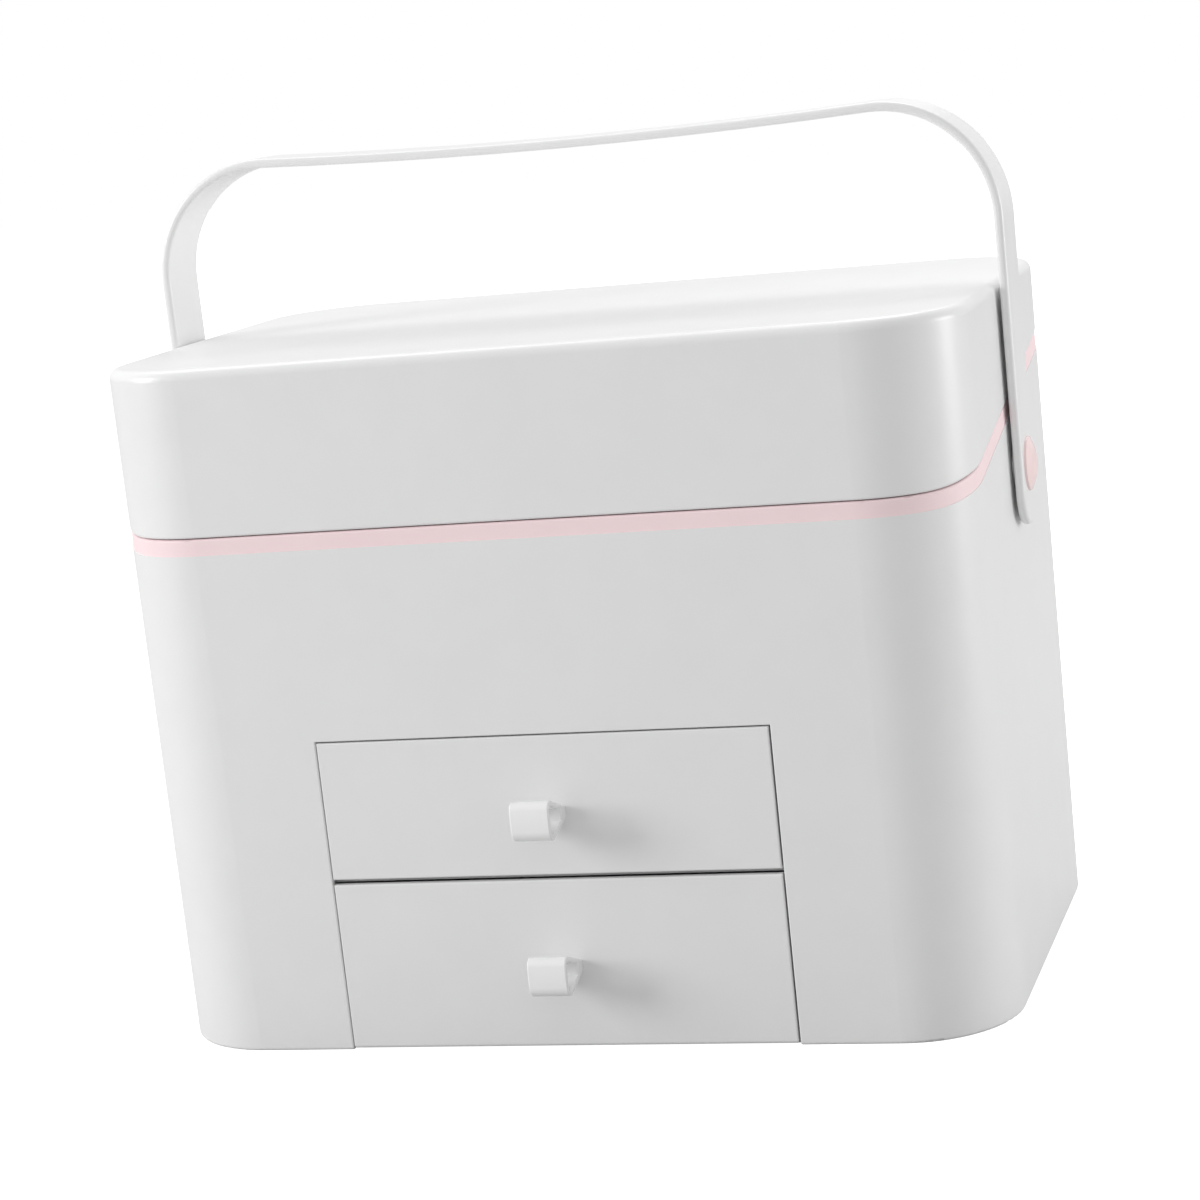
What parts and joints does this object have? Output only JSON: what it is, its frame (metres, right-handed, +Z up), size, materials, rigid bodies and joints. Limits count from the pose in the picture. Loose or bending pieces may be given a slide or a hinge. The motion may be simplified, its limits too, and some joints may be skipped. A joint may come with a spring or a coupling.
{
  "type": "makeup storage case",
  "caption": "Rounded white case with a deep hinged lid, a swinging strap handle and two small front drawers with loop pulls, for storing make-up.",
  "frame": {"origin": "middle of the case's footprint, on the surface that the case stands on", "axes": "+Z up, +X to the right, -Y towards the drawer front"},
  "size_m": [0.307, 0.218, 0.2954],
  "materials": {
    "case_white": "smooth moulded satin-gloss white",
    "inner_white": "fine matt moulded white",
    "trim_pink": "soft matt pink",
    "cap_pink": "smooth glossy pink",
    "steel": "plated steel",
    "pad_rubber": "matt pale grey rubber"
  },
  "bodies": {
    "case": {"body_shell": "case_white", "base_plate": "inner_white", "foot_pads": "pad_rubber", "base_screws": "steel", "bay_cheek_right": "inner_white", "bay_cheek_left": "inner_white", "middle_shelf": "inner_white", "bay_back_panel": "inner_white", "upper_deck": "inner_white", "deck_divider": "inner_white", "well_dividers": "inner_white", "trim_ring": "trim_pink", "hinge_bracket_right": "case_white", "hinge_bracket_left": "case_white", "hinge_pins": "steel", "hinge_screws": "steel"},
    "lid": {"lid_shell": "case_white", "lid_liner": "inner_white"},
    "handle_hubs": {"pivot_hubs": "case_white", "pivot_washers": "steel", "pivot_screws": "steel"},
    "handle": {"handle_bail": "case_white", "pivot_caps": "cap_pink"},
    "upper_drawer": {"upper_drawer_front": "case_white", "upper_drawer_tray": "inner_white", "upper_drawer_pull": "case_white", "upper_pull_screw": "steel", "upper_front_screws": "steel"},
    "lower_drawer": {"lower_drawer_front": "case_white", "lower_drawer_tray": "inner_white", "lower_drawer_pull": "case_white", "lower_pull_screw": "steel", "lower_front_screws": "steel"}
  },
  "joints": [
    {"name": "lid_hinge", "type": "hinge", "parent": "case", "child": "lid", "pos_m": [0, 0.07, 0.225], "axis": [-1, 0, 0], "range_deg": [0, 100]},
    {"name": "handle_fold_back", "type": "hinge", "parent": "case", "child": "handle_hubs", "pos_m": [0, 0, 0.1705], "axis": [-1, 0, 0], "range_deg": [0, 110]},
    {"name": "handle_fold_forward", "type": "hinge", "parent": "handle_hubs", "child": "handle", "pos_m": [0, 0, 0.1705], "axis": [1, 0, 0], "range_deg": [0, 110]},
    {"name": "upper_drawer_slide", "type": "slide", "parent": "case", "child": "upper_drawer", "axis": [0, -1, 0], "range_m": [0, 0.125]},
    {"name": "lower_drawer_slide", "type": "slide", "parent": "case", "child": "lower_drawer", "axis": [0, -1, 0], "range_m": [0, 0.125]}
  ],
  "couplings": [
    {"joint": "handle_fold_back", "follows": "lid_hinge", "ratio": 1.1}
  ]
}
